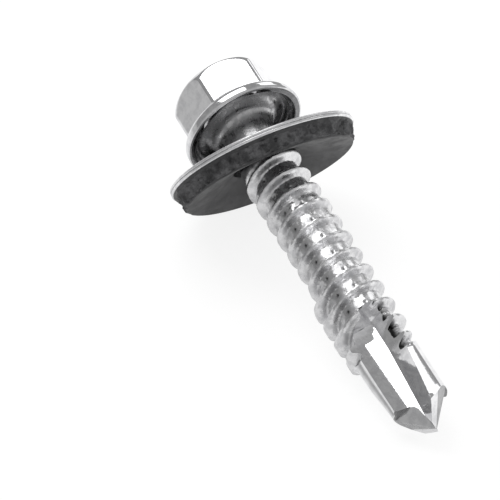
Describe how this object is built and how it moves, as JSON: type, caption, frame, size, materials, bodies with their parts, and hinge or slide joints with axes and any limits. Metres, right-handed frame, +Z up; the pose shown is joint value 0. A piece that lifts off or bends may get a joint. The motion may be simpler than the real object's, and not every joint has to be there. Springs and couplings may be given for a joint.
{
  "type": "self-drilling screw",
  "caption": "Hex flange head self-drilling screw with a fluted drill point, lying on a loose dished washer with a bonded rubber seal.",
  "frame": {"origin": "middle of the resting part's footprint, on the floor it lies on", "axes": "+X runs level along the lying screw, from the head to the drill point; +Z is up, away from the floor"},
  "size_m": [0.0376, 0.016, 0.0141],
  "materials": {
    "zinc_steel": "bright zinc plating, smooth, slightly dull in the thread",
    "washer_steel": "galvanised sheet, satin",
    "seal_rubber": "black rubber, smooth face with a torn moulded edge"
  },
  "bodies": {
    "screw": {"screw": "zinc_steel"},
    "washer": {"metal_washer": "washer_steel", "rubber_seal": "seal_rubber"}
  },
  "joints": [
    {"name": "washer_spin", "type": "hinge", "parent": "screw", "child": "washer", "pos_m": [-0.01026, 0, 0.0072], "axis": [0.8499, 0, -0.527], "continuous": true}
  ]
}
